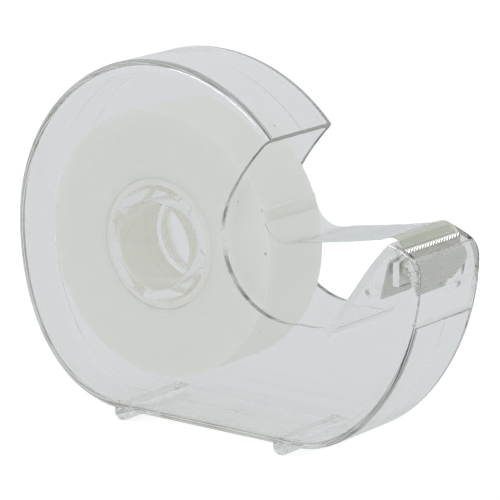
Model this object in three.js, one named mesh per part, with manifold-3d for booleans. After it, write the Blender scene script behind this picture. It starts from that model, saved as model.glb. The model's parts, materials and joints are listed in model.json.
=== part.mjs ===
// Hand tape dispenser: a clear two-part snail housing with a steel cutter on its nose,
// and a roll of 19 mm tape that turns on the hub tube of the near half.
// Millimetres, +X towards the nose, +Y across the width, +Z up.
// Shapes are drawn round the hub axis, and the last group sets them on the floor.
import * as THREE from "three";
import { mergeVertices } from "three/addons/utils/BufferGeometryUtils.js";
import Module from "manifold-3d";

// ---------- driving sizes ----------
const tapeWidth = 19;
const rollRoom = 1.2; // free room between each side of the roll and the side wall
const sideWall = 1.3; // thickness of each flat side
const bodyWidth = tapeWidth + 2 * (rollRoom + sideWall); // across both half shells
const rimWall = 1.7; // thickness of the band that joins the sides
const edgeRadius = 2.5; // rounded outer edge between side and rim
const seamGap = 0.3; // between the two half shells
const partGap = 0.3; // between any two pieces that touch

// Outline of the housing, measured from the hub axis.
const topHeight = 40;
const frontSpread = 41.5; // half axis of the front upper quarter
const backReach = 38.8;
const backFullness = [0.64, 0.57]; // how full the curve under the back is, along X and Z
const baseDepth = 38.9;
const baseBack = -9; // where the flat underside starts
const baseFront = 37; // where it ends and rises to the nose
const chinFullness = [0.49, 0.5]; // the same for the curve that rises to the nose
const noseReach = 68.6;
const noseLength = 7.3; // from the nose's back corner to its foremost point
const noseX = noseReach - noseLength; // places on the nose are measured from here
const noseBelly = 3; // height at which the nose reaches furthest
const noseTop = new THREE.Vector2(noseX, 9.7); // back corner of the nose
const noseSlope = 0.4; // fall of the nose's cheeks towards the front
const noseRound = 3; // radius of the nose's front top corner
const cheekRun = 9; // the cheeks' top line starts this far behind the nose's back corner

// Mouth, the cut-out on both sides.
const mouthCorner = 42.5; // angle of the mouth's top corner on the outline, degrees
const mouthRadius = 17.1;
const mouthFromNose = 25.8; // centre of the mouth's arc, behind the nose's back corner
const mouthCentre = new THREE.Vector2(noseX - mouthFromNose, 5.4);
const mouthEdge = 5.8; // length of the nearly straight upper edge's two handles
const mouthToe = 1.4; // rounding between the mouth's floor and the nose's back wall
const noseFoot = new THREE.Vector2(noseX - 15.1, -10.6); // where its back wall starts to rise
const noseBend = new THREE.Vector2(noseX - 4.8, 4); // where it leans over towards the landing

// Hub, roll and tape.
const hubRadius = 12.2;
const hubWall = 2.4;
const hubShort = 5; // the hub tube stops this far short of the roll's far side
const coreClearance = 0.5;
const coreWall = 1.6;
const rollRadius = 29.2;
const strandThickness = 0.2;
const stubClearance = 0.35;
const stubWall = 1.2;
const stubDepth = 3; // how far the far half's stub enters the hub tube

// Nose: back wall, landing, ledge and cutter.
const noseWall = 1.4;
const landingFront = new THREE.Vector2(noseX + 2, 7.6);
const landingUnder = 6.9;
const lipHeight = 6.8;
const ledgeHeight = -8;
const ledgeStep = 0.6; // the front panel lies this far behind the rim below it
const panelStart = noseX - 5.3; // the full-width front panel lies in front of this
const wellFloor = 2; // the well round the cutter is open above this height
const wellLength = 12; // and it starts this far behind the nose's back corner
const lipBehind = 2.3; // the lip's back face, behind the nose's foremost point
const lipTop = 1.6; // length of the lip's level top
const lipWedge = [1.3, 4.2]; // how far the wedge behind the lip falls and reaches back
const wedgeFoot = -2; // the wedge's hollow back runs into the front panel here
const cutterSheet = 0.5;
const cutterSide = 0.6; // free room between the cutter's ends and the sides
const cutterTop = 6.5;
const cutterCorner = new THREE.Vector2(noseX - 1.2, 5.2); // fold between back leg and top
const cutterCrest = noseX + 0.9; // where the top levels out
const ribRelief = 0.4; // clear room between the rib and the folded steel above it
const backLegFoot = new THREE.Vector2(noseX - 3.1, -2.9);
const ribThickness = 1.6;
const frontLegLow = 0.4;
const legShoulder = 3; // height below which the front leg's corners are cut away
const legTaper = 4.7; // and how far they are cut in
const toothPitch = 1;
const toothHeight = 0.8;
const toothRoot = 7.2;

// Feet and bosses.
const footRadius = 2;
const footSole = 1.2; // narrow flat that each foot stands on
const footInset = 0.8; // foot ends sit this far inside the sides
const footPlaces = [-9.6, 33.4];
const nearBoss = { x: noseX - 5.1, z: -1.5, radius: 1.4, length: 2.5 };
const farBoss = { x: noseX - 0.2, z: -2.7, radius: 2, length: 1.2 };

const cutterBack = landingFront.x + partGap; // back face of the cutter's front leg
const halfWidth = bodyWidth / 2;
const innerHalf = halfWidth - sideWall;
const tapeHalf = tapeWidth / 2;
const hubEnd = tapeHalf - hubShort;
const hubBore = hubRadius - hubWall;
const curveSteps = 10;
const roundSteps = 56;
const smallSteps = 28;

// ---------- solids ----------
const wasm = await Module();
wasm.setup();

function solid(geometry) {
  const bare = geometry.index ? geometry.toNonIndexed() : geometry.clone();
  bare.deleteAttribute("normal");
  bare.deleteAttribute("uv");
  const merged = mergeVertices(bare, 1e-4);
  return new wasm.Manifold(
    new wasm.Mesh({
      numProp: 3,
      vertProperties: new Float32Array(merged.attributes.position.array),
      triVerts: new Uint32Array(merged.index.array),
    }),
  );
}

function geometryOf(manifold) {
  const mesh = manifold.getMesh();
  const geometry = new THREE.BufferGeometry();
  geometry.setAttribute("position", new THREE.BufferAttribute(mesh.vertProperties, 3));
  geometry.setIndex(new THREE.BufferAttribute(mesh.triVerts, 1));
  const flat = geometry.toNonIndexed();
  flat.computeVertexNormals();
  return flat;
}

// A side-view shape, x and z, made solid between two places across the width.
function slab(shape, from, to) {
  const geometry = new THREE.ExtrudeGeometry(shape, {
    depth: to - from,
    bevelEnabled: false,
    curveSegments: curveSteps,
  });
  geometry.rotateX(Math.PI / 2);
  geometry.translate(0, to, 0);
  return solid(geometry);
}

// The same with its outer edges rounded and its outline drawn in by an inset.
function pillow(shape, half, inset, radius, steps) {
  const geometry = new THREE.ExtrudeGeometry(shape, {
    depth: 2 * (half - radius),
    bevelEnabled: true,
    bevelThickness: radius,
    bevelSize: radius,
    bevelOffset: -radius - inset,
    bevelSegments: steps,
    curveSegments: curveSteps,
  });
  geometry.rotateX(Math.PI / 2);
  geometry.translate(0, half - radius, 0);
  return solid(geometry);
}

function block(x0, x1, y0, y1, z0, z1) {
  const geometry = new THREE.BoxGeometry(x1 - x0, y1 - y0, z1 - z0);
  geometry.translate((x0 + x1) / 2, (y0 + y1) / 2, (z0 + z1) / 2);
  return solid(geometry);
}

function rod(radius, x, z, from, to, steps = roundSteps) {
  const geometry = new THREE.CylinderGeometry(radius, radius, to - from, steps);
  geometry.translate(x, (from + to) / 2, z);
  return solid(geometry);
}

function ring(inner, outer, from, to) {
  const profile = [
    new THREE.Vector2(inner, from),
    new THREE.Vector2(outer, from),
    new THREE.Vector2(outer, to),
    new THREE.Vector2(inner, to),
    new THREE.Vector2(inner, from),
  ];
  return solid(new THREE.LatheGeometry(profile, roundSteps));
}

// ---------- outlines ----------
// Where the cheeks' sloping top meets a height or a distance forward.
const cheekHeight = (x) => noseTop.y - (x - noseTop.x) * noseSlope;

// The whole side outline. Across the mouth it runs on outside the housing, and the
// mouth is cut from it later, so that the edges on both sides of the cut stay rounded.
function housingShape() {
  const shape = new THREE.Shape();
  const start = THREE.MathUtils.degToRad(mouthCorner / 2);
  const cornerX = noseReach - noseRound / 3;
  const [backX, backZ] = backFullness;
  const [chinX, chinZ] = chinFullness;
  shape.moveTo(frontSpread * Math.cos(start), topHeight * Math.sin(start));
  shape.absellipse(0, 0, frontSpread, topHeight, start, Math.PI / 2, false, 0);
  shape.absellipse(0, 0, backReach, topHeight, Math.PI / 2, Math.PI, false, 0);
  shape.bezierCurveTo(
    -backReach,
    -baseDepth * backZ,
    baseBack - (baseBack + backReach) * backX,
    -baseDepth,
    baseBack,
    -baseDepth,
  );
  shape.lineTo(baseFront, -baseDepth);
  shape.bezierCurveTo(
    baseFront + (noseReach - baseFront) * chinX,
    -baseDepth,
    noseReach,
    noseBelly - (baseDepth + noseBelly) * chinZ,
    noseReach,
    noseBelly,
  );
  shape.bezierCurveTo(
    noseReach,
    cheekHeight(cornerX) - noseRound / 2,
    cornerX,
    cheekHeight(cornerX),
    cornerX - noseRound,
    cheekHeight(cornerX - noseRound),
  );
  shape.lineTo(noseTop.x - cheekRun, cheekHeight(noseTop.x - cheekRun));
  shape.closePath();
  return shape;
}

// The top corner of the mouth, on the housing's outline.
const corner = new THREE.Vector2(
  frontSpread * Math.cos(THREE.MathUtils.degToRad(mouthCorner)),
  topHeight * Math.sin(THREE.MathUtils.degToRad(mouthCorner)),
);
const noseRise = noseBend.clone().sub(noseFoot).normalize();
const noseLean = noseTop.clone().sub(noseBend).normalize();
const arcTop = THREE.MathUtils.degToRad(154); // where the mouth's upper edge meets its arc
const arcBottom = THREE.MathUtils.degToRad(281);
const ridge = 1; // length of the rounded ridge at the nose's back corner
const clearOf = 15; // how far a cut runs past what it cuts
const along = (start, direction, length) => start.clone().addScaledVector(direction, length);

function mouthShape() {
  const shape = new THREE.Shape();
  const top = along(mouthCentre, new THREE.Vector2(Math.cos(arcTop), Math.sin(arcTop)), mouthRadius);
  const low = along(mouthCentre, new THREE.Vector2(Math.cos(arcBottom), Math.sin(arcBottom)), mouthRadius);
  const upper = along(corner, new THREE.Vector2(-1, -1).normalize(), mouthEdge);
  const tangent = along(top, new THREE.Vector2(Math.sin(arcTop), -Math.cos(arcTop)), mouthEdge);
  const toeStart = along(noseFoot, noseRise, -mouthToe);
  const toeEnd = along(noseFoot, noseRise, mouthToe);
  const ridgeBack = along(noseTop, noseLean, -ridge);
  shape.moveTo(corner.x, corner.y);
  shape.bezierCurveTo(upper.x, upper.y, tangent.x, tangent.y, top.x, top.y);
  shape.absarc(mouthCentre.x, mouthCentre.y, mouthRadius, arcTop, arcBottom, false);
  shape.bezierCurveTo(low.x + 2 * mouthToe, low.y, toeStart.x, toeStart.y, toeEnd.x, toeEnd.y);
  shape.lineTo(noseBend.x, noseBend.y);
  shape.lineTo(ridgeBack.x, ridgeBack.y);
  shape.quadraticCurveTo(noseTop.x, noseTop.y, noseTop.x + ridge, cheekHeight(noseTop.x + ridge));
  shape.lineTo(noseTop.x + ridge, topHeight + clearOf);
  shape.lineTo(corner.x + clearOf, topHeight + clearOf);
  shape.lineTo(corner.x + clearOf, corner.y + clearOf);
  shape.closePath();
  return shape;
}

// Back wall of the nose with the landing that the tape end is pressed on.
function noseBackShape() {
  const inside = new THREE.Vector2(noseRise.y, -noseRise.x);
  const under = new THREE.Vector2(noseLean.y, -noseLean.x);
  const foot = along(noseFoot, noseRise, -1.5 * mouthToe);
  const heel = along(foot, inside, -noseWall);
  const bendInside = along(noseBend, inside, noseWall);
  const bendUnder = along(noseBend, under, noseWall);
  const underSide = along(bendUnder, noseLean, (landingUnder - bendUnder.y) / noseLean.y);
  const footInside = along(foot, inside, noseWall);
  const toeEnd = along(noseFoot, noseRise, mouthToe);
  const ridgeBack = along(noseTop, noseLean, -ridge);
  const shape = new THREE.Shape();
  shape.moveTo(heel.x, heel.y);
  shape.quadraticCurveTo(noseFoot.x, noseFoot.y, toeEnd.x, toeEnd.y);
  shape.lineTo(noseBend.x, noseBend.y);
  shape.lineTo(ridgeBack.x, ridgeBack.y);
  shape.quadraticCurveTo(noseTop.x, noseTop.y, noseTop.x + ridge / 2, noseTop.y - ridge / 2);
  shape.lineTo(landingFront.x, landingFront.y);
  shape.lineTo(landingFront.x, landingUnder);
  shape.lineTo(underSide.x, underSide.y);
  shape.lineTo(bendInside.x, bendInside.y);
  shape.lineTo(footInside.x, footInside.y);
  shape.closePath();
  return shape;
}

function box2d(x0, z0, x1, z1) {
  const shape = new THREE.Shape();
  shape.moveTo(x0, z0);
  shape.lineTo(x1, z0);
  shape.lineTo(x1, z1);
  shape.lineTo(x0, z1);
  shape.closePath();
  return shape;
}

// Cross rib that the cutter is folded over.
function cutterRibShape() {
  const slope = (cutterTop - cutterCorner.y) / (cutterCrest - cutterCorner.x);
  const front = cutterBack - partGap;
  const back = front - ribThickness;
  const top = cutterTop - cutterSheet - ribRelief;
  const shape = new THREE.Shape();
  shape.moveTo(back, frontLegLow);
  shape.lineTo(front, frontLegLow);
  shape.lineTo(front, top);
  shape.lineTo(cutterCrest, top);
  shape.lineTo(back, top - (cutterCrest - back) * slope);
  shape.closePath();
  return shape;
}

// Solid wedge behind the lip: its top falls back towards the cutter, and its hollow
// underside runs down into the front panel.
function lipWedgeShape() {
  const [fall, back] = lipWedge;
  const face = noseReach - ledgeStep - rimWall / 2;
  const shape = new THREE.Shape();
  shape.moveTo(face, lipHeight);
  shape.lineTo(noseReach - lipTop, lipHeight);
  shape.lineTo(noseReach - back, lipHeight - fall);
  shape.quadraticCurveTo(noseReach - lipBehind, wellFloor, noseReach - rimWall, wedgeFoot);
  shape.lineTo(face, wedgeFoot);
  shape.closePath();
  return shape;
}

// ---------- housing ----------
function wholeShell() {
  const outline = housingShape();
  const outside = pillow(outline, halfWidth, 0, edgeRadius, 3);
  const inside = pillow(outline, innerHalf, rimWall, edgeRadius - sideWall, 2);
  const wellBack = noseTop.x - wellLength;
  const above = noseTop.y + clearOf;
  const ahead = noseReach + clearOf;
  const well = slab(box2d(wellBack, wellFloor, noseReach - lipBehind, above), -innerHalf, innerHalf);
  const overLip = slab(box2d(wellBack, lipHeight, ahead, above), -innerHalf, innerHalf);
  const mouth = slab(mouthShape(), -halfWidth - clearOf, halfWidth + clearOf);
  const recess = slab(box2d(panelStart, ledgeHeight, ahead, noseTop.y), -innerHalf, innerHalf)
    .subtract(pillow(outline, halfWidth, ledgeStep, sideWall / 2, 1));
  return outside.subtract(inside).subtract(well).subtract(overLip).subtract(mouth).subtract(recess);
}

// Half-round foot with a narrow flat sole, between two places across the width.
function foot(x, from, to) {
  const sole = Math.sqrt(footRadius ** 2 - (footSole / 2) ** 2);
  const round = rod(footRadius, x, -baseDepth, from, to, smallSteps);
  const wide = 2 * footRadius;
  const below = block(x - wide, x + wide, from - 1, to + 1, -baseDepth - wide, -baseDepth - sole);
  return round.subtract(below);
}

const beyond = 200; // larger than the whole object
const shell = wholeShell();
const panelEnd = innerHalf - partGap;

function nearHalfShell() {
  const half = shell.intersect(block(-beyond, beyond, -beyond, -seamGap / 2, -beyond, beyond));
  const panel = shell.intersect(
    block(panelStart, beyond, -seamGap / 2 - 1, panelEnd, ledgeHeight + partGap / 2, beyond),
  );
  const across = (shape) => slab(shape, -innerHalf - sideWall / 2, panelEnd);
  const backWall = across(noseBackShape());
  const rib = across(cutterRibShape());
  const wedge = across(lipWedgeShape());
  const hub = rod(hubRadius, 0, 0, -innerHalf - sideWall / 2, hubEnd);
  const bore = rod(hubBore, 0, 0, -halfWidth - 1, hubEnd + 1);
  const boss = rod(
    nearBoss.radius,
    nearBoss.x,
    nearBoss.z,
    -innerHalf - sideWall / 2,
    -innerHalf + nearBoss.length,
    smallSteps,
  );
  let whole = half.add(panel).add(backWall).add(rib).add(wedge).add(hub).add(boss);
  for (const x of footPlaces) whole = whole.add(foot(x, -halfWidth + footInset, -seamGap / 2));
  return whole.subtract(bore);
}

function farHalfShell() {
  const half = shell.intersect(block(-beyond, beyond, seamGap / 2, beyond, -beyond, beyond));
  const panelRoom = block(
    panelStart - partGap,
    beyond,
    -1,
    panelEnd + partGap,
    ledgeHeight - partGap / 2,
    beyond,
  );
  const outer = hubBore - stubClearance;
  const stub = rod(outer, 0, 0, hubEnd - stubDepth, innerHalf + sideWall / 2).subtract(
    rod(outer - stubWall, 0, 0, hubEnd - stubDepth - 1, innerHalf),
  );
  const boss = rod(
    farBoss.radius,
    farBoss.x,
    farBoss.z,
    innerHalf - farBoss.length,
    innerHalf + sideWall / 2,
    smallSteps,
  );
  let whole = half.subtract(panelRoom).add(stub).add(boss);
  for (const x of footPlaces) whole = whole.add(foot(x, seamGap / 2, halfWidth - footInset));
  return whole;
}

// ---------- cutter ----------
// Thin steel folded over the rib: a long back leg, a flange under the edge of the
// landing, and a short front leg whose top edge is a row of teeth.
function cutterBlade() {
  const half = innerHalf - cutterSide;
  const fold = new THREE.Shape();
  fold.moveTo(cutterCorner.x, cutterCorner.y);
  fold.lineTo(backLegFoot.x, backLegFoot.y);
  fold.lineTo(backLegFoot.x + cutterSheet, backLegFoot.y);
  fold.lineTo(cutterCorner.x + cutterSheet, cutterCorner.y - cutterSheet * 0.8);
  fold.lineTo(cutterCrest, cutterTop - cutterSheet);
  fold.lineTo(cutterBack + cutterSheet / 2, cutterTop - cutterSheet);
  fold.lineTo(cutterBack + cutterSheet / 2, cutterTop);
  fold.lineTo(cutterCrest, cutterTop);
  fold.closePath();
  const count = Math.floor((2 * half) / toothPitch);
  const leg = new THREE.Shape();
  leg.moveTo(-half, legShoulder);
  leg.lineTo(-half + legTaper, frontLegLow);
  leg.lineTo(half - legTaper, frontLegLow);
  leg.lineTo(half, legShoulder);
  leg.lineTo(half, toothRoot);
  for (let i = count - 1; i >= 0; i--) {
    const left = (i - count / 2) * toothPitch;
    leg.lineTo(left + toothPitch, toothRoot);
    leg.lineTo(left + toothPitch / 2, toothRoot + toothHeight);
  }
  leg.lineTo((-count / 2) * toothPitch, toothRoot);
  leg.lineTo(-half, toothRoot);
  const front = new THREE.ExtrudeGeometry(leg, { depth: cutterSheet, bevelEnabled: false });
  front.rotateX(Math.PI / 2);
  front.rotateZ(Math.PI / 2);
  front.translate(cutterBack, 0, 0);
  return slab(fold, -half, half).add(solid(front));
}

// ---------- roll and tape ----------
const coreInner = hubRadius + coreClearance;
const coreOuter = coreInner + coreWall;

// The loose end: it peels off the roll's front, crosses the mouth and lies on the landing.
function tapeStrand() {
  const peel = THREE.MathUtils.degToRad(16); // where on the roll it comes away
  const start = rollRadius + partGap + strandThickness / 2;
  const crest = new THREE.Vector2(noseTop.x, noseTop.y + partGap);
  const onward = (part) => rollRadius + (crest.x - rollRadius) * part; // from the roll to the nose
  const middle = new THREE.CatmullRomCurve3(
    [
      new THREE.Vector3(start * Math.cos(peel), 0, start * Math.sin(peel)),
      new THREE.Vector3(onward(0.028), 0, 5.9),
      new THREE.Vector3(onward(0.112), 0, 5),
      new THREE.Vector3(onward(0.302), 0, 5.9),
      new THREE.Vector3(onward(0.623), 0, 7.6),
      new THREE.Vector3(onward(0.863), 0, crest.y - 0.8),
      new THREE.Vector3(crest.x, 0, crest.y),
      new THREE.Vector3(landingFront.x, 0, landingFront.y + 2 * partGap),
    ],
    false,
    "centripetal",
  );
  const points = middle.getPoints(40);
  const upper = [];
  const lower = [];
  points.forEach((point, i) => {
    const before = points[Math.max(i - 1, 0)];
    const after = points[Math.min(i + 1, points.length - 1)];
    const run = new THREE.Vector2(after.x - before.x, after.z - before.z).normalize();
    const across = new THREE.Vector2(-run.y, run.x).multiplyScalar(strandThickness / 2);
    upper.push(new THREE.Vector2(point.x + across.x, point.z + across.y));
    lower.push(new THREE.Vector2(point.x - across.x, point.z - across.y));
  });
  return slab(new THREE.Shape([...lower, ...upper.reverse()]), -tapeHalf, tapeHalf);
}

// ---------- the object ----------
const clear = { transparent: true, opacity: 0.35, roughness: 0.08, metalness: 0 };
const looks = {
  shell: new THREE.MeshStandardMaterial({ color: "#dfe8ea", ...clear }),
  steel: new THREE.MeshStandardMaterial({ color: "#aaaaa6", roughness: 0.35, metalness: 1 }),
  core: new THREE.MeshStandardMaterial({ color: "#e4e2d6", roughness: 0.45, metalness: 0 }),
  roll: new THREE.MeshStandardMaterial({ color: "#e0dfd2", roughness: 0.4, metalness: 0 }),
  strand: new THREE.MeshStandardMaterial({ color: "#e6ecee", roughness: 0.25, metalness: 0 }),
};

const pieces = [
  ["near_half_shell", nearHalfShell(), looks.shell],
  ["far_half_shell", farHalfShell(), looks.shell],
  ["cutter_blade", cutterBlade(), looks.steel],
  ["tape_core", ring(coreInner, coreOuter, -tapeHalf, tapeHalf), looks.core],
  ["tape_roll", ring(coreOuter + partGap, rollRadius, -tapeHalf, tapeHalf), looks.roll],
  ["tape_strand", tapeStrand(), looks.strand],
];

const dispenser = new THREE.Group();
for (const [name, manifold, material] of pieces) {
  const mesh = new THREE.Mesh(geometryOf(manifold), material);
  mesh.name = name;
  dispenser.add(mesh);
}

// It stands on its soles, with the middle of its length over the origin.
const extent = new THREE.Box3().setFromObject(dispenser);
dispenser.position.set(-(extent.min.x + extent.max.x) / 2, 0, -extent.min.z);

export default dispenser;
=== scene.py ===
"""Looks for a clear hand tape dispenser.

Two half shells of clear polystyrene, a folded steel cutter, and a roll of translucent
tape on its core. Sizes are in millimetres from the hub axis. The hub axis, the overall
reaches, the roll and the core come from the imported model.
"""

import json
import math

import bmesh
import bpy
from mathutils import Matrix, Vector


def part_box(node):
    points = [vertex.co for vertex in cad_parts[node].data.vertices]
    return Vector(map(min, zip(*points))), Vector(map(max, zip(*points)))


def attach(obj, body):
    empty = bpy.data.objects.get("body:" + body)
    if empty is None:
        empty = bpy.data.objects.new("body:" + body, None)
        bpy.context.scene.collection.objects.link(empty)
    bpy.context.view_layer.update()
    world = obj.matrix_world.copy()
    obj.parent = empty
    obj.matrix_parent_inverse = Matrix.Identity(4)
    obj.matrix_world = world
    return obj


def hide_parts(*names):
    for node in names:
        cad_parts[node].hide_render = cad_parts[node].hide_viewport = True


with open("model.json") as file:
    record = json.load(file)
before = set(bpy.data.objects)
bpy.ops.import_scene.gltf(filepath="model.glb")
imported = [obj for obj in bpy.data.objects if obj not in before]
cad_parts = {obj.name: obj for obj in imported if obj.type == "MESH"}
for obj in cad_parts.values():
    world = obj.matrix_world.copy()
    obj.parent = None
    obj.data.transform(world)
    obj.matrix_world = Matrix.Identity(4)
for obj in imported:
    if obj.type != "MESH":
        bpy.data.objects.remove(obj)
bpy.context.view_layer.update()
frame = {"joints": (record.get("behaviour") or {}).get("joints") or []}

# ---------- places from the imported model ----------
MM = 0.001
SPIN = next(j for j in frame["joints"] if j["name"] == "roll_spin")
HUB_X, _, HUB_Z = SPIN["pos_m"]
NEAR_LOW, NEAR_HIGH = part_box("near_half_shell")
_, FAR_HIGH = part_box("far_half_shell")
_, ROLL_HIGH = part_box("tape_roll")
_, CORE_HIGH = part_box("tape_core")

# ---------- housing, millimetres ----------
HALF_WIDTH = (FAR_HIGH.y - NEAR_LOW.y) / 2 / MM
FRONT_ROUNDING = 0.32  # the outline reaches this far past the rounded front edge
NOSE_REACH = (NEAR_HIGH.x - HUB_X) / MM + FRONT_ROUNDING
BACK_REACH = (HUB_X - NEAR_LOW.x) / MM
TOP_HEIGHT = (NEAR_HIGH.z - HUB_Z) / MM
FRONT_SPREAD = 41.5  # half axis of the front upper quarter
BASE_DEPTH = 38.9
BASE_BACK = -9  # where the flat underside starts
BASE_FRONT = 37  # where it ends and rises to the nose
SIDE_WALL = 1.3
RIM_WALL = 1.7
EDGE_RADIUS = 2.5
SEAM = 0.1  # closed joint line between the half shells
INNER_HALF = HALF_WIDTH - SIDE_WALL
WALL_LAP = SIDE_WALL / 2  # what stands on a side starts this deep in it
BEYOND = 90  # larger than the whole object
CLEAR_OF = 15  # how far a cut runs past what it cuts

# ---------- nose and mouth ----------
NOSE_X = 61.3  # back corner of the nose, from which everything on it is placed
NOSE_BELLY = 3
NOSE_SLOPE = 0.4
NOSE_ROUND = 3
NOSE_WALL = 1.4
NOSE_TOP = Vector((NOSE_X, 9.7))
NOSE_BEND = Vector((NOSE_X - 4.8, 4))
NOSE_FOOT = Vector((NOSE_X - 15.1, -10.6))
NOSE_RISE = (NOSE_BEND - NOSE_FOOT).normalized()
NOSE_LEAN = (NOSE_TOP - NOSE_BEND).normalized()
CHEEK_RUN = 9
MOUTH_ANGLE = math.radians(42.5)  # of its top corner on the outline
MOUTH_CENTRE = Vector((NOSE_X - 25.8, 5.4))
MOUTH_RADIUS = 17.1
MOUTH_EDGE = 5.8  # length of the nearly straight upper edge's two handles
MOUTH_TOE = 1.4
MOUTH_CORNER = Vector((FRONT_SPREAD * math.cos(MOUTH_ANGLE), TOP_HEIGHT * math.sin(MOUTH_ANGLE)))
RIDGE = 1  # length of the rounded ridge at the nose's back corner
BEND_RUN = 1.5
BEND_IN = NOSE_BEND - NOSE_RISE * BEND_RUN
BEND_OUT = NOSE_BEND + NOSE_LEAN * BEND_RUN
RIDGE_BACK = NOSE_TOP - NOSE_LEAN * RIDGE
LANDING_FRONT = Vector((NOSE_X + 2, 7.6))
LANDING_UNDER = 6.9
LIP_HEIGHT = 6.8
LIP_BEHIND = 2.3
LIP_TOP = 1.6
LEDGE_HEIGHT = -8
LEDGE_STEP = 0.6
PANEL_START = NOSE_X - 5.3
PANEL_END = INNER_HALF - SEAM
WELL_LENGTH = 12
WELL_FLOOR = 2
WELL_TOP = 25
WEDGE_FALL = 1.3
WEDGE_BACK = 4.2
WEDGE_FOOT = -2

# ---------- hub, feet and locating pips ----------
TAPE_HALF = ROLL_HIGH.y / MM
HUB_RADIUS = 12.2
HUB_WALL = 2.4
HUB_SHORT = 5  # the hub tube stops this far short of the roll's far side
HUB_BORE = HUB_RADIUS - HUB_WALL
HUB_END = TAPE_HALF - HUB_SHORT
STUB_CLEARANCE = 0.15
STUB_WALL = 1.2
STUB_DEPTH = 3
FOOT_PLACES = (-9.6, 33.4)
FOOT_RADIUS = 2
FOOT_CUT = 1.908  # depth under the base that leaves a sole 1.2 mm wide
FOOT_INSET = 0.8
NEAR_PIP = (NOSE_X - 5.1, -1.5)
NEAR_PIP_RADIUS = 1.4
NEAR_PIP_HEIGHT = 2.5
FAR_PIP = (NOSE_X - 0.2, -2.7)
FAR_PIP_RADIUS = 2
FAR_PIP_HEIGHT = 1.2

# ---------- cutter ----------
STEEL = 0.4
STEEL_ROOM = 0.5  # the rib leaves this much for the sheet
CUTTER_TOP = 6.5
CUTTER_CORNER = Vector((NOSE_X - 1.2, 5.2))
CUTTER_CREST = NOSE_X + 0.9
CUTTER_BACK = LANDING_FRONT.x + 0.3
CUTTER_HALF = INNER_HALF - 0.6
FOLD_RUN = 0.9
BACK_LEG_FOOT = Vector((NOSE_X - 3.1, -2.9))
FRONT_LEG_LOW = 0.4
LEG_SHOULDER = 3
LEG_TAPER = 4.7
TOOTH_PITCH = 1
TOOTH_ROOT = 7.2
TOOTH_TIP = 8
RIB_THICKNESS = 1.6
RIB_GAP = 0.3
RIB_RELIEF = 0.4

# ---------- roll, core and loose end ----------
ROLL_RADIUS = (ROLL_HIGH.x - HUB_X) / MM
ROLL_CORNER = 0.08
WINDING_RINGS = 56
RING_DEPTH = 0.05
CORE_OUTER = (CORE_HIGH.x - HUB_X) / MM
CORE_INNER = HUB_RADIUS + 0.5
CORE_CORNER = 0.1
CORE_ROUND = 0.35
CORE_PULL = 0.45  # a quarter circle's handles end at this share of its radius
FILM = 0.1
FILM_LIFT = 0.12  # its middle lies this far off the roll
PEEL_ANGLE = math.radians(16)
TEAR_COLUMNS = 38
TEAR_BACK = 0.35
TEAR_LIFT = 0.2

# ---------- fineness ----------
WELD = 0.002 * MM
SPIN_STEPS = 160
SMOOTH_ANGLE = math.radians(32)
BEVEL_ANGLE = math.radians(35)
BEVEL_STEPS = 2


def place(x, y, z):
    return Vector((HUB_X + x * MM, y * MM, HUB_Z + z * MM))


# ---------- modelling helpers ----------
def activate(piece):
    if bpy.context.object and bpy.context.object.mode != "OBJECT":
        bpy.ops.object.mode_set(mode="OBJECT")
    bpy.ops.object.select_all(action="DESELECT")
    if piece:
        piece.select_set(True)
        bpy.context.view_layer.objects.active = piece


def pick_edges(test):
    """In edit mode, selects the edges for which test(first end, second end) holds."""
    bpy.ops.mesh.select_mode(type="EDGE")
    bpy.ops.mesh.select_all(action="DESELECT")
    mesh = bmesh.from_edit_mesh(bpy.context.object.data)
    for edge in mesh.edges:
        if test(edge.verts[0].co, edge.verts[1].co):
            edge.select_set(True)
    mesh.select_flush_mode()
    bmesh.update_edit_mesh(bpy.context.object.data)


class Outline:
    """A closed side-view outline of straight lines and Bezier curves."""

    def __init__(self, x, z):
        self.points = [[Vector((x, z)), None, None]]

    def line(self, x, z):
        self.points.append([Vector((x, z)), None, None])
        return self

    def curve(self, after, before, end):
        self.points[-1][2] = Vector(after)
        self.points.append([Vector(end), Vector(before), None])
        return self

    def bend(self, start, corner, end, pull):
        """From start, where the outline is, round the corner to end."""
        return self.curve(start.lerp(corner, pull), end.lerp(corner, pull), end)

    def arc(self, centre, radii, start, stop):
        """Part of an ellipse, in pieces of at most a quarter turn. It starts where the outline is."""
        count = math.ceil(abs(stop - start) / (math.pi / 2) - 1e-6)
        step = (stop - start) / count
        reach = 4 / 3 * math.tan(step / 4)
        for i in range(count):
            a, b = start + i * step, start + (i + 1) * step
            here = Vector((centre[0] + radii[0] * math.cos(a), centre[1] + radii[1] * math.sin(a)))
            there = Vector((centre[0] + radii[0] * math.cos(b), centre[1] + radii[1] * math.sin(b)))
            leave = here + reach * Vector((-radii[0] * math.sin(a), radii[1] * math.cos(a)))
            arrive = there - reach * Vector((-radii[0] * math.sin(b), radii[1] * math.cos(b)))
            self.curve(leave, arrive, there)
        return self


def side_view(u, v, depth):
    return place(u, depth, v)


def front_view(u, v, depth):
    return place(depth, u, v)


def section_view(u, v, depth):
    """Radius and place across the width, for shapes that are spun round the hub."""
    return place(u, v, depth)


def new_curve(count, steps):
    """A Bezier curve with count points, and its spline."""
    activate(None)
    bpy.ops.curve.primitive_bezier_curve_add(location=(0, 0, 0))
    drawn = bpy.context.object
    drawn.data.dimensions = "3D"
    drawn.data.resolution_u = steps
    spline = drawn.data.splines[0]
    spline.bezier_points.add(count - len(spline.bezier_points))
    return drawn, spline


def open_mesh():
    """Turns the drawn curve into mesh edges and selects them all in edit mode."""
    bpy.ops.object.convert(target="MESH")
    bpy.ops.object.mode_set(mode="EDIT")
    bpy.ops.mesh.select_mode(type="VERT")
    bpy.ops.mesh.select_all(action="SELECT")


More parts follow.
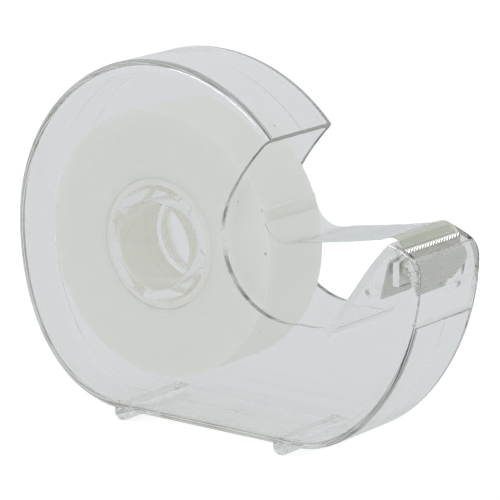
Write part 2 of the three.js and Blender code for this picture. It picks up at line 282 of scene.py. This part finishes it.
def draw(outline, depth, steps, view=side_view):
    """Draws the closed outline as a Bezier curve and turns it into mesh edges, in edit mode."""
    drawn, spline = new_curve(len(outline.points), steps)
    spline.use_cyclic_u = True
    for point, (at, before, after) in zip(spline.bezier_points, outline.points):
        point.co = view(at.x, at.y, depth)
        point.handle_left_type = "FREE" if before else "VECTOR"
        point.handle_right_type = "FREE" if after else "VECTOR"
    for point, (at, before, after) in zip(spline.bezier_points, outline.points):
        if before:
            point.handle_left = view(before.x, before.y, depth)
        if after:
            point.handle_right = view(after.x, after.y, depth)
    open_mesh()
    bpy.ops.mesh.remove_doubles(threshold=WELD)
    return drawn


def prism(outline, low, high, inset=0, edge=0, edge_steps=10, steps=24, view=side_view):
    """The outline made solid from low to high, drawn in by inset, with rounded end edges."""
    piece = draw(outline, low, steps, view)
    bpy.ops.mesh.edge_face_add()
    if inset:
        bpy.ops.mesh.select_mode(type="FACE")
        bpy.ops.mesh.inset(thickness=inset * MM, depth=0, use_even_offset=True)
        bpy.ops.mesh.select_all(action="INVERT")
        bpy.ops.mesh.delete(type="FACE")
    bpy.ops.mesh.select_all(action="SELECT")
    reach = view(0, 0, high) - view(0, 0, low)
    bpy.ops.mesh.extrude_region_move(TRANSFORM_OT_translate={"value": reach})
    bpy.ops.mesh.select_all(action="SELECT")
    bpy.ops.mesh.normals_make_consistent(inside=False)
    if edge:
        near = 0.01 * MM
        ends = (low * MM, high * MM)
        pick_edges(lambda a, b: abs(a.y - b.y) < near and min(abs(a.y - e) for e in ends) < near)
        bpy.ops.mesh.bevel(
            offset=edge * MM, offset_type="OFFSET", segments=edge_steps, profile=0.5, clamp_overlap=False
        )
    bpy.ops.object.mode_set(mode="OBJECT")
    return piece


def spun(outline):
    """A closed section, radius and place across the width, spun once round the hub."""
    piece = draw(outline, 0, 6, section_view)
    bpy.ops.mesh.select_all(action="SELECT")
    bpy.ops.mesh.spin(steps=SPIN_STEPS, angle=2 * math.pi, center=place(0, 0, 0), axis=(0, 1, 0))
    bpy.ops.mesh.select_all(action="SELECT")
    bpy.ops.mesh.remove_doubles(threshold=WELD)
    bpy.ops.mesh.normals_make_consistent(inside=False)
    bpy.ops.object.mode_set(mode="OBJECT")
    return piece


def box(x0, x1, y0, y1, z0, z1):
    return prism(Outline(x0, z0).line(x1, z0).line(x1, z1).line(x0, z1), y0, y1)


def cylinder(radius, x, z, y0, y1, vertices=128):
    activate(None)
    bpy.ops.mesh.primitive_cylinder_add(
        vertices=vertices,
        radius=radius * MM,
        depth=(y1 - y0) * MM,
        location=place(x, (y0 + y1) / 2, z),
        rotation=(math.pi / 2, 0, 0),
    )
    bpy.ops.object.transform_apply(location=True, rotation=True, scale=True)
    return bpy.context.object


def combine(piece, how, *others):
    for other in others:
        activate(piece)
        bpy.ops.object.modifier_add(type="BOOLEAN")
        boolean = piece.modifiers[-1]
        boolean.operation = how
        boolean.solver = "EXACT"
        boolean.object = other
        bpy.ops.object.modifier_apply(modifier=boolean.name)
        bpy.data.objects.remove(other)
    return piece


def join(piece, *others):
    return combine(piece, "UNION", *others)


def cut(piece, *others):
    return combine(piece, "DIFFERENCE", *others)


def copy_of(piece):
    activate(piece)
    bpy.ops.object.duplicate()
    return bpy.context.object


def soften(piece, width=0):
    """Rounds the sharp edges by width and shades the rest smooth, with flat faces kept flat."""
    activate(piece)
    if width:
        bpy.ops.object.modifier_add(type="BEVEL")
        bevel = piece.modifiers[-1]
        bevel.width = width * MM
        bevel.segments = BEVEL_STEPS
        bevel.limit_method = "ANGLE"
        bevel.angle_limit = BEVEL_ANGLE
        bevel.use_clamp_overlap = True
        bpy.ops.object.modifier_apply(modifier=bevel.name)
    bpy.ops.object.shade_smooth_by_angle(angle=SMOOTH_ANGLE)
    bpy.ops.object.modifier_add(type="WEIGHTED_NORMAL")
    weighted = piece.modifiers[-1]
    weighted.keep_sharp = True
    weighted.weight = 80
    bpy.ops.object.modifier_apply(modifier=weighted.name)
    return piece


def dress(piece, material):
    piece.data.materials.clear()
    piece.data.materials.append(material)
    return piece


def finish_piece(piece, name, body, slot, *nodes):
    piece.name = name
    piece.data.name = name
    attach(piece, body)
    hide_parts(*nodes)
    return piece


# ---------- outlines of the housing ----------
def cheek_height(x):
    return NOSE_TOP.y - (x - NOSE_TOP.x) * NOSE_SLOPE


def housing_outline():
    start = MOUTH_ANGLE / 2
    corner_x = NOSE_REACH - NOSE_ROUND / 3
    cheek_back = NOSE_TOP.x - CHEEK_RUN
    outline = Outline(FRONT_SPREAD * math.cos(start), TOP_HEIGHT * math.sin(start))
    outline.arc((0, 0), (FRONT_SPREAD, TOP_HEIGHT), start, math.pi / 2)
    outline.arc((0, 0), (BACK_REACH, TOP_HEIGHT), math.pi / 2, math.pi)
    outline.curve(
        (-BACK_REACH, -BASE_DEPTH * 0.57),
        (BASE_BACK - (BASE_BACK + BACK_REACH) * 0.64, -BASE_DEPTH),
        (BASE_BACK, -BASE_DEPTH),
    )
    outline.line(BASE_FRONT, -BASE_DEPTH)
    outline.curve(
        (BASE_FRONT + (NOSE_REACH - BASE_FRONT) * 0.49, -BASE_DEPTH),
        (NOSE_REACH, NOSE_BELLY - (BASE_DEPTH + NOSE_BELLY) * 0.5),
        (NOSE_REACH, NOSE_BELLY),
    )
    outline.curve(
        (NOSE_REACH, cheek_height(corner_x) - NOSE_ROUND / 2),
        (corner_x, cheek_height(corner_x)),
        (corner_x - NOSE_ROUND, cheek_height(corner_x - NOSE_ROUND)),
    )
    outline.line(cheek_back, cheek_height(cheek_back))
    return outline


def mouth_outline():
    """The mouth's edge and the nose's back and ridge, closed far above the housing."""
    top_angle, low_angle = math.radians(154), math.radians(281)
    top = MOUTH_CENTRE + MOUTH_RADIUS * Vector((math.cos(top_angle), math.sin(top_angle)))
    low = MOUTH_CENTRE + MOUTH_RADIUS * Vector((math.cos(low_angle), math.sin(low_angle)))
    ridge_front = Vector((NOSE_TOP.x + RIDGE, cheek_height(NOSE_TOP.x + RIDGE)))
    outline = Outline(*MOUTH_CORNER)
    outline.curve(
        MOUTH_CORNER - MOUTH_EDGE * Vector((1, 1)).normalized(),
        top + MOUTH_EDGE * Vector((math.sin(top_angle), -math.cos(top_angle))),
        top,
    )
    outline.arc(MOUTH_CENTRE, (MOUTH_RADIUS, MOUTH_RADIUS), top_angle, low_angle)
    outline.curve(
        (low.x + 2 * MOUTH_TOE, low.y),
        NOSE_FOOT - NOSE_RISE * MOUTH_TOE,
        NOSE_FOOT + NOSE_RISE * MOUTH_TOE,
    )
    outline.line(*BEND_IN).bend(BEND_IN, NOSE_BEND, BEND_OUT, 0.6)
    outline.line(*RIDGE_BACK).bend(RIDGE_BACK, NOSE_TOP, ridge_front, 0.67)
    outline.line(ridge_front.x, TOP_HEIGHT + CLEAR_OF)
    outline.line(MOUTH_CORNER.x + CLEAR_OF, TOP_HEIGHT + CLEAR_OF)
    outline.line(MOUTH_CORNER.x + CLEAR_OF, MOUTH_CORNER.y + CLEAR_OF)
    return outline


def nose_back_outline():
    """The wall behind the nose, from the mouth's floor up to the landing for the tape."""
    inside = Vector((NOSE_RISE.y, -NOSE_RISE.x))
    under = Vector((NOSE_LEAN.y, -NOSE_LEAN.x))
    wall_foot = NOSE_FOOT - NOSE_RISE * 1.5 * MOUTH_TOE
    heel = wall_foot - inside * NOSE_WALL
    toe_end = NOSE_FOOT + NOSE_RISE * MOUTH_TOE
    ridge_front = NOSE_TOP + Vector((RIDGE / 2, -RIDGE / 2))
    bend_under = NOSE_BEND + under * NOSE_WALL
    under_side = bend_under + NOSE_LEAN * ((LANDING_UNDER - bend_under.y) / NOSE_LEAN.y)
    outline = Outline(*heel).bend(heel, NOSE_FOOT, toe_end, 0.67)
    outline.line(*BEND_IN).bend(BEND_IN, NOSE_BEND, BEND_OUT, 0.6)
    outline.line(*RIDGE_BACK).bend(RIDGE_BACK, NOSE_TOP, ridge_front, 0.67)
    outline.line(*LANDING_FRONT)
    outline.line(LANDING_FRONT.x, LANDING_UNDER)
    outline.line(*under_side)
    outline.line(*(NOSE_BEND + inside * NOSE_WALL))
    outline.line(*(wall_foot + inside * NOSE_WALL))
    return outline


def rib_outline():
    """The rib that the cutter is folded over."""
    slope = (CUTTER_TOP - CUTTER_CORNER.y) / (CUTTER_CREST - CUTTER_CORNER.x)
    front = CUTTER_BACK - RIB_GAP
    back = front - RIB_THICKNESS
    top = CUTTER_TOP - STEEL_ROOM - RIB_RELIEF
    outline = Outline(back, FRONT_LEG_LOW)
    outline.line(front, FRONT_LEG_LOW)
    outline.line(front, top)
    outline.line(CUTTER_CREST, top)
    outline.line(back, top - (CUTTER_CREST - back) * slope)
    return outline


def wedge_outline():
    """The thickening behind the front lip, with its hollow back."""
    face = NOSE_REACH - LEDGE_STEP - RIM_WALL / 2
    back = Vector((NOSE_REACH - WEDGE_BACK, LIP_HEIGHT - WEDGE_FALL))
    wedge_foot = Vector((NOSE_REACH - RIM_WALL, WEDGE_FOOT))
    hollow = Vector((NOSE_REACH - LIP_BEHIND, WELL_FLOOR))
    outline = Outline(face, LIP_HEIGHT)
    outline.line(NOSE_REACH - LIP_TOP, LIP_HEIGHT)
    outline.line(*back).bend(back, hollow, wedge_foot, 0.67)
    outline.line(face, WEDGE_FOOT)
    return outline


# ---------- the two half shells ----------
def whole_shell():
    outline = housing_outline()
    shell = prism(outline, -HALF_WIDTH, HALF_WIDTH, edge=EDGE_RADIUS)
    inner_edge = EDGE_RADIUS - SIDE_WALL
    hollow = prism(outline, -INNER_HALF, INNER_HALF, inset=RIM_WALL, edge=inner_edge, edge_steps=6)
    well_back = NOSE_TOP.x - WELL_LENGTH
    lip_back = NOSE_REACH - LIP_BEHIND
    well = box(well_back, lip_back, -INNER_HALF, INNER_HALF, WELL_FLOOR, WELL_TOP)
    over_lip = box(well_back, BEYOND, -INNER_HALF, INNER_HALF, LIP_HEIGHT, WELL_TOP)
    mouth = prism(mouth_outline(), -HALF_WIDTH - CLEAR_OF, HALF_WIDTH + CLEAR_OF)
    recess = box(PANEL_START, BEYOND, -INNER_HALF, INNER_HALF, LEDGE_HEIGHT, NOSE_TOP.y)
    front = prism(outline, -HALF_WIDTH, HALF_WIDTH, inset=LEDGE_STEP)
    return cut(shell, hollow, well, over_lip, mouth, cut(recess, front))


def foot(x, low, high):
    """Half-round foot with a narrow flat sole."""
    round_bar = cylinder(FOOT_RADIUS, x, -BASE_DEPTH, low, high, vertices=64)
    below = box(x - 5, x + 5, low - 1, high + 1, -BASE_DEPTH - 9, -BASE_DEPTH - FOOT_CUT)
    return cut(round_bar, below)


def near_half(shell):
    far_room = cut(
        box(-BEYOND, BEYOND, -SEAM / 2, 30, -BEYOND, BEYOND),
        box(PANEL_START, BEYOND + 1, -1, PANEL_END, LEDGE_HEIGHT + SEAM / 2, BEYOND + 1),
    )
    half = cut(shell, far_room)
    low = -INNER_HALF - WALL_LAP
    join(half, prism(nose_back_outline(), low, PANEL_END))
    join(half, prism(rib_outline(), low, PANEL_END))
    join(half, prism(wedge_outline(), low, PANEL_END))
    join(half, cylinder(HUB_RADIUS, 0, 0, low, HUB_END))
    join(half, cylinder(NEAR_PIP_RADIUS, *NEAR_PIP, low, -INNER_HALF + NEAR_PIP_HEIGHT, vertices=48))
    for x in FOOT_PLACES:
        join(half, foot(x, -HALF_WIDTH + FOOT_INSET, -SEAM / 2))
    return cut(half, cylinder(HUB_BORE, 0, 0, -HALF_WIDTH - 1, HUB_END + 1))


def far_half(shell):
    near_room = join(
        box(-BEYOND, BEYOND, -30, SEAM / 2, -BEYOND, BEYOND),
        box(PANEL_START - SEAM, BEYOND + 1, -1, INNER_HALF, LEDGE_HEIGHT - SEAM / 2, BEYOND + 1),
    )
    half = cut(shell, near_room)
    high = INNER_HALF + WALL_LAP
    outer = HUB_BORE - STUB_CLEARANCE
    stub = cut(
        cylinder(outer, 0, 0, HUB_END - STUB_DEPTH, high),
        cylinder(outer - STUB_WALL, 0, 0, HUB_END - STUB_DEPTH - 1, INNER_HALF),
    )
    join(half, stub)
    join(half, cylinder(FAR_PIP_RADIUS, *FAR_PIP, INNER_HALF - FAR_PIP_HEIGHT, high, vertices=48))
    for x in FOOT_PLACES:
        join(half, foot(x, SEAM / 2, HALF_WIDTH - FOOT_INSET))
    return half


# ---------- cutter ----------
def fold_outline():
    """The steel seen from the side: up the back leg, over the corner and level to the front."""
    along = (CUTTER_CORNER - BACK_LEG_FOOT).normalized()
    crest = Vector((CUTTER_CREST, CUTTER_TOP))
    rise = (crest - CUTTER_CORNER).normalized()
    fold_in = CUTTER_CORNER - along * FOLD_RUN
    fold_out = CUTTER_CORNER + rise * FOLD_RUN
    level_end = CUTTER_BACK + STEEL / 2
    outline = Outline(*BACK_LEG_FOOT)
    outline.line(*fold_in).bend(fold_in, CUTTER_CORNER, fold_out, 0.6)
    outline.line(*crest)
    outline.line(level_end, CUTTER_TOP)
    outline.line(level_end, CUTTER_TOP - STEEL)
    outline.line(CUTTER_CREST, CUTTER_TOP - STEEL)
    outline.line(*(CUTTER_CORNER + Vector((STEEL, -STEEL * 0.8))))
    outline.line(*(BACK_LEG_FOOT + Vector((along.y, -along.x)) * STEEL))
    return outline


def toothed_leg_outline():
    """The front leg seen from the front, with its teeth and its tapered foot."""
    count = int(2 * CUTTER_HALF / TOOTH_PITCH)
    outline = Outline(-CUTTER_HALF, LEG_SHOULDER)
    outline.line(-CUTTER_HALF + LEG_TAPER, FRONT_LEG_LOW)
    outline.line(CUTTER_HALF - LEG_TAPER, FRONT_LEG_LOW)
    outline.line(CUTTER_HALF, LEG_SHOULDER)
    outline.line(CUTTER_HALF, TOOTH_ROOT)
    for i in range(count - 1, -1, -1):
        left = (i - count / 2) * TOOTH_PITCH
        outline.line(left + TOOTH_PITCH, TOOTH_ROOT)
        outline.line(left + TOOTH_PITCH / 2, TOOTH_TIP)
    outline.line(-count / 2 * TOOTH_PITCH, TOOTH_ROOT)
    outline.line(-CUTTER_HALF, TOOTH_ROOT)
    return outline


def cutter():
    """Thin steel folded over the rib, with a sawtooth edge above the front leg."""
    sheet = prism(fold_outline(), -CUTTER_HALF, CUTTER_HALF, steps=8)
    leg = prism(toothed_leg_outline(), CUTTER_BACK, CUTTER_BACK + STEEL, view=front_view)
    return join(sheet, leg)


# ---------- roll and tape ----------
def ring_step(i):
    """How far one band of windings stands in from the roll's side, millimetres."""
    return RING_DEPTH * (0.5 + 0.5 * math.sin(i * 2.4)) * (0.6 + 0.4 * math.sin(i * 0.37))


def wound_roll():
    """The wound tape: its side is a stack of film edges that never line up exactly."""
    inner = CORE_OUTER + 0.05
    step = (ROLL_RADIUS - inner) / WINDING_RINGS
    outline = Outline(inner, -TAPE_HALF)
    for i in range(1, WINDING_RINGS):
        outline.line(inner + i * step, -TAPE_HALF + ring_step(i))
    outline.line(ROLL_RADIUS - ROLL_CORNER, -TAPE_HALF)
    outline.line(ROLL_RADIUS, -TAPE_HALF + ROLL_CORNER)
    outline.line(ROLL_RADIUS, TAPE_HALF - ROLL_CORNER)
    outline.line(ROLL_RADIUS - ROLL_CORNER, TAPE_HALF)
    for i in range(WINDING_RINGS - 1, 0, -1):
        outline.line(inner + i * step, TAPE_HALF - ring_step(i + 5))
    outline.line(inner, TAPE_HALF)
    return spun(outline)


def core_ring():
    """The ring the tape is wound on, with rounded mouths."""
    r, half, pull = CORE_INNER, TAPE_HALF, CORE_ROUND * CORE_PULL
    outline = Outline(r + CORE_ROUND, -half)
    outline.line(CORE_OUTER - CORE_CORNER, -half)
    outline.line(CORE_OUTER, -half + CORE_CORNER)
    outline.line(CORE_OUTER, half - CORE_CORNER)
    outline.line(CORE_OUTER - CORE_CORNER, half)
    outline.line(r + CORE_ROUND, half)
    outline.curve((r + pull, half), (r, half - pull), (r, half - CORE_ROUND))
    outline.line(r, -half + CORE_ROUND)
    outline.curve((r, -half + pull), (r + pull, -half), (r + CORE_ROUND, -half))
    return spun(outline)


def tear_edge(film):
    """Moves every other column of the film's front end back and up, as the teeth leave it."""
    end = max(vertex.co.x for vertex in film.data.vertices)
    for vertex in film.data.vertices:
        column = round((vertex.co.y / MM + TAPE_HALF) / (2 * TAPE_HALF) * TEAR_COLUMNS)
        if vertex.co.x > end - 0.001 * MM and column % 2:
            vertex.co.x -= TEAR_BACK * MM
            vertex.co.z += TEAR_LIFT * MM


def loose_end():
    """The loose end of the film, from the roll's front across the mouth to the landing."""
    off_roll = ROLL_RADIUS + FILM_LIFT
    wound = PEEL_ANGLE + 0.12
    crest = NOSE_TOP + Vector((0, 0.2))
    route = [
        (off_roll * math.cos(wound), off_roll * math.sin(wound)),
        (off_roll * math.cos(PEEL_ANGLE), off_roll * math.sin(PEEL_ANGLE)),
        (ROLL_RADIUS + 1.0, 5.9),
        (ROLL_RADIUS + 3.6, 5.0),
        (ROLL_RADIUS + 9.7, 5.9),
        (ROLL_RADIUS + 20, 7.6),
        (crest.x - 4.4, crest.y - 0.8),
        (crest.x, crest.y),
        (LANDING_FRONT.x - 0.1, LANDING_FRONT.y + 0.25),
    ]
    film, spline = new_curve(len(route), 14)
    for point, (x, z) in zip(spline.bezier_points, route):
        point.co = place(x, -TAPE_HALF, z)
        point.handle_left_type = point.handle_right_type = "AUTO"
    open_mesh()
    across = (0, 2 * TAPE_HALF / TEAR_COLUMNS * MM, 0)
    for _ in range(TEAR_COLUMNS):
        bpy.ops.mesh.extrude_region_move(TRANSFORM_OT_translate={"value": across})
    bpy.ops.object.mode_set(mode="OBJECT")
    tear_edge(film)
    bpy.ops.object.modifier_add(type="SOLIDIFY")
    thicken = film.modifiers[-1]
    thicken.thickness = FILM * MM
    thicken.offset = 0
    bpy.ops.object.modifier_apply(modifier=thicken.name)
    bpy.ops.object.mode_set(mode="EDIT")
    bpy.ops.mesh.select_all(action="SELECT")
    bpy.ops.mesh.normals_make_consistent(inside=False)
    bpy.ops.object.mode_set(mode="OBJECT")
    return film


# ---------- shader nodes ----------
def colour(code):
    """An sRGB hex colour as the linear colour that the shader takes."""
    parts = [int(code[i : i + 2], 16) / 255 for i in (1, 3, 5)]
    return [*(c / 12.92 if c <= 0.04045 else ((c + 0.055) / 1.055) ** 2.4 for c in parts), 1]


def per_mm(size):
    """The texture scale, in features per metre, of a feature of that size in millimetres."""
    return 1 / (size * MM)


def new_material(name):
    material = bpy.data.materials.new(name)
    material.use_nodes = True
    material.node_tree.nodes.clear()
    return material, material.node_tree


def add_node(tree, kind, settings=None, inputs=None):
    """Adds a node, sets its fields, and gives each named input a value or links it to a socket."""
    node = tree.nodes.new(kind)
    for field, value in (settings or {}).items():
        setattr(node, field, value)
    for name, value in (inputs or {}).items():
        if isinstance(value, bpy.types.NodeSocket):
            tree.links.new(value, node.inputs[name])
        else:
            node.inputs[name].default_value = value
    return node


def object_spots(tree):
    return add_node(tree, "ShaderNodeTexCoord").outputs["Object"]


def noise(tree, spots, scale, detail):
    inputs = {"Vector": spots, "Scale": scale, "Detail": detail}
    return add_node(tree, "ShaderNodeTexNoise", inputs=inputs).outputs["Fac"]


def spread(tree, value, low, high, to_low=0.0, to_high=1.0):
    """Carries low to high over to to_low to to_high, and holds the ends beyond them."""
    inputs = {"Value": value, "From Min": low, "From Max": high, "To Min": to_low, "To Max": to_high}
    return add_node(tree, "ShaderNodeMapRange", inputs=inputs).outputs[0]


def math_node(tree, operation, first, second):
    return add_node(tree, "ShaderNodeMath", {"operation": operation}, {0: first, 1: second}).outputs[0]


def mix_colours(tree, factor, first, second):
    inputs = {0: factor, 6: first, 7: second}
    return add_node(tree, "ShaderNodeMix", {"data_type": "RGBA"}, inputs).outputs[2]


def bumped(tree, height, strength, distance):
    """A bumped normal. The distance is in millimetres."""
    inputs = {"Height": height, "Strength": strength, "Distance": distance * MM}
    return add_node(tree, "ShaderNodeBump", inputs=inputs).outputs["Normal"]


def surface(tree, inputs, volume=None):
    """The principled shader with these inputs, and the volume where the piece is clear."""
    shader = add_node(tree, "ShaderNodeBsdfPrincipled", inputs=inputs)
    ends = {"Surface": shader.outputs["BSDF"]}
    if volume:
        ends["Volume"] = volume.outputs[0]
    add_node(tree, "ShaderNodeOutputMaterial", inputs=ends)


# ---------- materials ----------
def clear_polystyrene():
    """Crystal polystyrene, injection moulded: glass clear with a polished face. The flow of
    the melt leaves slow ripples, handling leaves a faint uneven haze, and looking along a
    wall shows the plastic's own olive grey."""
    material, tree = new_material("clear_moulded_polystyrene")
    spots = object_spots(tree)
    flow = noise(tree, spots, per_mm(16), 1.0)
    haze = noise(tree, spots, per_mm(9), 4.0)
    inputs = {
        "Base Color": colour("#fefefe"),
        "Roughness": spread(tree, haze, 0.35, 0.75, 0.015, 0.06),
        "IOR": 1.59,
        "Transmission Weight": 1.0,
        "Normal": bumped(tree, flow, 0.06, 1),
    }
    tint = {"Color": colour("#c0bba4"), "Density": 4.8}
    surface(tree, inputs, volume=add_node(tree, "ShaderNodeVolumeAbsorption", inputs=tint))
    return material


def hub_centred(tree):
    """Object coordinates in metres from the hub axis."""
    inputs = {"Vector": object_spots(tree), "Location": (-HUB_X, 0, -HUB_Z)}
    return add_node(tree, "ShaderNodeMapping", inputs=inputs).outputs[0]


def vector_node(tree, operation, inputs):
    return add_node(tree, "ShaderNodeVectorMath", {"operation": operation}, inputs)


def wound_film(name, light, dark, speck, scatter, crease_highlight_strength):
    """Matt acetate film wound in hundreds of turns: the side shows fine rings, a few radial
    wrinkles next to the core with painted highlights along them, specks of dust, and light soaks a
    millimetre or two in."""
    material, tree = new_material(name)
    spots = hub_centred(tree)
    flat = vector_node(tree, "MULTIPLY", {0: spots, 1: (1, 0, 1)}).outputs[0]
    radius = vector_node(tree, "LENGTH", {0: flat}).outputs["Value"]
    around = vector_node(tree, "NORMALIZE", {0: flat}).outputs[0]
    ring_inputs = {"W": radius, "Scale": per_mm(0.7), "Detail": 3.0}
    ring_noise = add_node(tree, "ShaderNodeTexNoise", {"noise_dimensions": "1D"}, ring_inputs)
    rings = ring_noise.outputs["Fac"]
    clouds = noise(tree, spots, per_mm(14), 2.0)
    near_core = spread(tree, radius, 19 * MM, 14 * MM, 0.0, crease_highlight_strength)
    crease_and_highlight = math_node(tree, "MULTIPLY", noise(tree, around, 5.0, 4.0), near_core)
    ring_part = math_node(tree, "MULTIPLY", rings, 0.5)
    tone = math_node(tree, "ADD", ring_part, math_node(tree, "MULTIPLY", clouds, 0.6))
    bands = mix_colours(tree, tone, colour(dark), colour(light))
    grains = {"Vector": spots, "Scale": per_mm(7), "Randomness": 1.0}
    from_grain = add_node(tree, "ShaderNodeTexVoronoi", inputs=grains).outputs["Distance"]
    dust = math_node(tree, "MULTIPLY", math_node(tree, "LESS_THAN", from_grain, 0.045), 0.5)
    dusty = mix_colours(tree, dust, bands, colour(speck))
    # painted highlight: along the radial creases next to the core the base colour is lightened towards
    # near white; the creases' bump below is real relief
    painted_crease_highlight = spread(tree, crease_and_highlight, 0.38, 0.6, 0.0, 0.9)
    relief = math_node(tree, "ADD", math_node(tree, "MULTIPLY", rings, 0.35), crease_and_highlight)
    inputs = {
        "Base Color": mix_colours(tree, painted_crease_highlight, dusty, colour("#fdfdfb")),
        "Roughness": 0.38,
        "Subsurface Weight": scatter,
        "Subsurface Radius": (1.0, 1.0, 0.9),
        "Subsurface Scale": 1.5 * MM,
        "Normal": bumped(tree, relief, 0.35, 0.3),
    }
    surface(tree, inputs)
    return material


def single_film():
    """One layer of film: clear and slightly cockled where it hangs free, and tinted by its
    own adhesive where it is pressed down on the landing."""
    material, tree = new_material("single_layer_of_film")
    spots = object_spots(tree)
    ripple = noise(tree, spots, per_mm(6), 1.0)
    ahead = add_node(tree, "ShaderNodeSeparateXYZ", inputs={"Vector": spots}).outputs["X"]
    along = spread(tree, ahead, place(28, 0, 0).x, place(64, 0, 0).x)
    ramp = add_node(tree, "ShaderNodeValToRGB", inputs={"Fac": along})
    for position, code in ((0.12, "#ffffff"), (0.2, "#f8fafb"), (0.8, "#f8fafb"), (0.9, "#dfe0d3")):
        ramp.color_ramp.elements.new(position).color = colour(code)
    ramp.color_ramp.elements[0].color = colour("#ffffff")
    ramp.color_ramp.elements[-1].color = colour("#dfe0d3")
    inputs = {
        "Base Color": ramp.outputs["Color"],
        "Roughness": 0.1,
        "IOR": 1.25,
        "Transmission Weight": 0.97,
        "Normal": bumped(tree, ripple, 0.1, 0.3),
    }
    surface(tree, inputs)
    return material


def brushed_steel():
    """Cold-rolled spring steel strip: grey, with fine rolling lines along its length."""
    material, tree = new_material("rolled_spring_steel")
    drawn_out = {"Vector": object_spots(tree), "Scale": (1.0, 0.04, 1.0)}
    stretched = add_node(tree, "ShaderNodeMapping", inputs=drawn_out).outputs[0]
    lines = noise(tree, stretched, per_mm(0.25), 3.0)
    inputs = {
        "Base Color": colour("#cecdc6"),
        "Metallic": 1.0,
        "Roughness": spread(tree, lines, 0.3, 0.7, 0.22, 0.34),
        "Normal": bumped(tree, lines, 0.04, 0.1),
    }
    surface(tree, inputs)
    return material


# ---------- studio ----------
TENT_GREY = "#dadddf"  # the soft grey surroundings that the clear plastic shows
PAPER_GLOW = 0.4  # lifts the paper to white where it is seen directly
VIEW_TARGET = place(16.95, 0, -0.85)
VIEW_DISTANCE = 0.7233
VIEW_AZIMUTH = math.radians(36.88)
VIEW_ELEVATION = math.radians(13.89)


def seen_directly(tree, otherwise, seen):
    """One shader for what the camera sees directly, and another for all other rays."""
    rays = add_node(tree, "ShaderNodeLightPath")
    inputs = {0: rays.outputs["Is Camera Ray"], 1: otherwise.outputs[0], 2: seen.outputs[0]}
    return add_node(tree, "ShaderNodeMixShader", inputs=inputs).outputs[0]


def lay_floor():
    activate(None)
    bpy.ops.mesh.primitive_plane_add(size=12, location=(0, 0, 0))
    floor = bpy.context.object
    floor.name = "floor"
    material, tree = new_material("pale_paper")
    paper = add_node(tree, "ShaderNodeBsdfDiffuse", inputs={"Color": colour("#fbfbfb")})
    glow = add_node(tree, "ShaderNodeEmission", inputs={"Strength": PAPER_GLOW})
    lifted = add_node(tree, "ShaderNodeAddShader", inputs={0: paper.outputs[0], 1: glow.outputs[0]})
    sweep = seen_directly(tree, paper, lifted)
    add_node(tree, "ShaderNodeOutputMaterial", inputs={"Surface": sweep})
    floor.data.materials.append(material)


def hang_tent():
    """Even grey surroundings that light the object, with a white backdrop."""
    world = bpy.data.worlds.new("studio")
    bpy.context.scene.world = world
    world.use_nodes = True
    tree = world.node_tree
    tree.nodes.clear()
    tent = add_node(tree, "ShaderNodeBackground", inputs={"Color": colour(TENT_GREY)})
    white = add_node(tree, "ShaderNodeBackground", inputs={"Color": colour("#ffffff")})
    add_node(tree, "ShaderNodeOutputWorld", inputs={"Surface": seen_directly(tree, tent, white)})


def hang_strip():
    """A long soft lamp above and in front, which only adds its reflection to edges and steel."""
    strip = bpy.data.lights.new("strip_light", "AREA")
    strip.shape = "RECTANGLE"
    strip.size, strip.size_y = 0.9, 0.12
    strip.energy = 3.2
    lamp = bpy.data.objects.new("strip_light", strip)
    bpy.context.scene.collection.objects.link(lamp)
    lamp.location = (-0.15, -0.55, 0.95)
    aim = Vector((0, 0, 0.05)) - lamp.location
    lamp.rotation_euler = aim.to_track_quat("-Z", "Y").to_euler()
    lamp.visible_diffuse = False
    lamp.visible_transmission = False


def set_camera():
    camera_data = bpy.data.cameras.new("camera")
    camera_data.lens = 243.6
    camera_data.sensor_width = 36
    camera_data.clip_start = 0.01
    camera = bpy.data.objects.new("camera", camera_data)
    bpy.context.scene.collection.objects.link(camera)
    level = math.cos(VIEW_ELEVATION)
    across, ahead = level * math.sin(VIEW_AZIMUTH), level * math.cos(VIEW_AZIMUTH)
    away = Vector((across, -ahead, math.sin(VIEW_ELEVATION)))
    camera.location = VIEW_TARGET + VIEW_DISTANCE * away
    camera.rotation_euler = (-away).to_track_quat("-Z", "Y").to_euler()
    bpy.context.scene.camera = camera


def set_light_paths():
    """Lets light cross the many clear walls and the bright inside of the hub to the end."""
    scene = bpy.context.scene
    scene.view_settings.view_transform = "Standard"
    scene.cycles.blur_glossy = 0
    scene.cycles.max_bounces = 96
    scene.cycles.diffuse_bounces = 24
    scene.cycles.glossy_bounces = 64
    scene.cycles.transmission_bounces = 96
    scene.cycles.transparent_max_bounces = 16


# ---------- build ----------
shell = whole_shell()
far_shell = far_half(copy_of(shell))
near_shell = near_half(shell)
clear = clear_polystyrene()
dress(soften(near_shell), clear)
dress(soften(far_shell), clear)
finish_piece(near_shell, "near_shell", "housing", "clear_shell", "near_half_shell")
finish_piece(far_shell, "far_shell", "cover", "clear_shell", "far_half_shell")

film_look = single_film()
roll_look = wound_film("wound_matt_film", "#fcfbf5", "#f2f1e9", "#8f8258", 0.5, 1.0)
core_look = wound_film("core_plastic", "#fbfaf5", "#f5f4ec", "#e8e4d0", 0.2, 0.0)
steel_look = brushed_steel()
blade = dress(soften(cutter(), 0.06), steel_look)
finish_piece(blade, "cutter", "housing", "cutter_steel", "cutter_blade")
roll = dress(soften(wound_roll()), roll_look)
finish_piece(roll, "wound_tape", "roll", "tape_roll", "tape_roll")
core = dress(soften(core_ring()), core_look)
finish_piece(core, "core_ring", "roll", "core", "tape_core")
film = dress(soften(loose_end()), film_look)
finish_piece(film, "loose_film", "housing", "tape_film", "tape_strand")

lay_floor()
hang_tent()
hang_strip()
set_camera()
set_light_paths()
